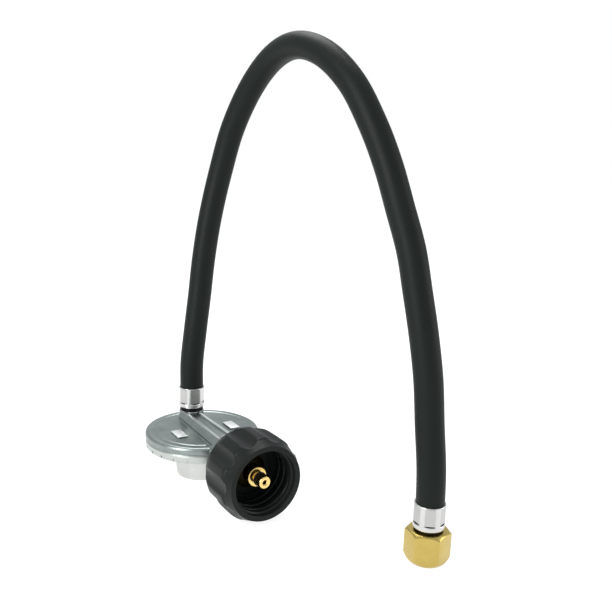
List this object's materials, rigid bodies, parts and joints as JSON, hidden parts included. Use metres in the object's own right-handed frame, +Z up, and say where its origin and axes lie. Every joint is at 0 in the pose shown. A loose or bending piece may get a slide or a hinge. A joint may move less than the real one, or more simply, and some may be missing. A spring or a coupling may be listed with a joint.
{
  "type": "propane regulator hose",
  "caption": "Low-pressure propane regulator with a round die-cast body, black tank handwheel, arched rubber hose and brass flare nut.",
  "frame": {"origin": "on the axis of the round regulator body, in the face that the regulator rests on", "axes": "+Z up along the body's axis; -Y out of the tank inlet, along the nipple; the hose leaves upwards at +Y"},
  "size_m": [0.093, 0.1835, 0.2447],
  "materials": {
    "zinc_casting": "satin die-cast zinc, greenish grey",
    "bonnet_zinc": "bright satin die-cast zinc",
    "plated_steel": "zinc-plated steel",
    "ferrule_steel": "bright plated, crimped",
    "spring_steel": "drawn wire and stamped steel",
    "aluminium_plate": "pressed sheet",
    "brass": "machined",
    "bright_brass": "bright machined",
    "nitrile_rubber": "matte moulded",
    "black_plastic": "satin moulded, fine grain",
    "bushing_plastic": "matte moulded",
    "hose_rubber": "satin extruded cover, fine cloth print"
  },
  "bodies": {
    "regulator": {"body_casting": "zinc_casting", "bonnet_casting": "bonnet_zinc", "closing_cap": "plated_steel", "adjuster_disc": "brass", "vent_screen": "plated_steel", "main_spring": "spring_steel", "diaphragm": "nitrile_rubber", "lever_pin": "spring_steel", "orifice_nozzle": "brass", "inlet_nipple": "bright_brass", "nose_seal": "nitrile_rubber", "poppet_spring": "spring_steel", "flow_seat": "brass", "outlet_insert": "brass", "regulator_ferrule": "ferrule_steel", "hose": "hose_rubber", "far_ferrule": "ferrule_steel", "flare_stem": "brass"},
    "handwheel": {"handwheel": "black_plastic", "thermal_bushing": "bushing_plastic", "bushing_ring": "plated_steel"},
    "diaphragm_stack": {"diaphragm_stem": "brass", "diaphragm_plate": "aluminium_plate", "stem_nut": "plated_steel"},
    "lever": {"lever": "spring_steel"},
    "valve": {"valve_carrier": "brass", "seat_disc": "nitrile_rubber"},
    "poppet": {"flow_poppet": "brass"},
    "flare_nut": {"flare_nut": "bright_brass"}
  },
  "joints": [
    {"name": "handwheel_spin", "type": "hinge", "parent": "regulator", "child": "handwheel", "pos_m": [0, -0.06, 0.0225], "axis": [0, -1, 0], "continuous": true},
    {"name": "flare_nut_spin", "type": "hinge", "parent": "regulator", "child": "flare_nut", "pos_m": [0.051, -0.14, 0.008], "axis": [0, 0, 1], "continuous": true},
    {"name": "stem_lift", "type": "slide", "parent": "regulator", "child": "diaphragm_stack", "axis": [0, 0, 1], "range_m": [-0.0016, 0], "stiffness_N_per_m": 1500, "springref_m": 0.004, "deforming": ["main_spring", "diaphragm"]},
    {"name": "lever_swing", "type": "hinge", "parent": "regulator", "child": "lever", "pos_m": [0, -0.012, 0.0282], "axis": [1, 0, 0], "range_deg": [-7.7, 0]},
    {"name": "valve_slide", "type": "slide", "parent": "regulator", "child": "valve", "axis": [0, 1, 0], "range_m": [-0.00035, 0]},
    {"name": "poppet_slide", "type": "slide", "parent": "regulator", "child": "poppet", "axis": [0, 1, 0], "range_m": [0, 0.0018], "stiffness_N_per_m": 150, "springref_m": -0.002, "deforming": ["poppet_spring"]}
  ],
  "couplings": [
    {"joint": "lever_swing", "follows": "stem_lift", "rad_per_m": 83.333},
    {"joint": "valve_slide", "follows": "stem_lift", "ratio": 0.2167}
  ]
}
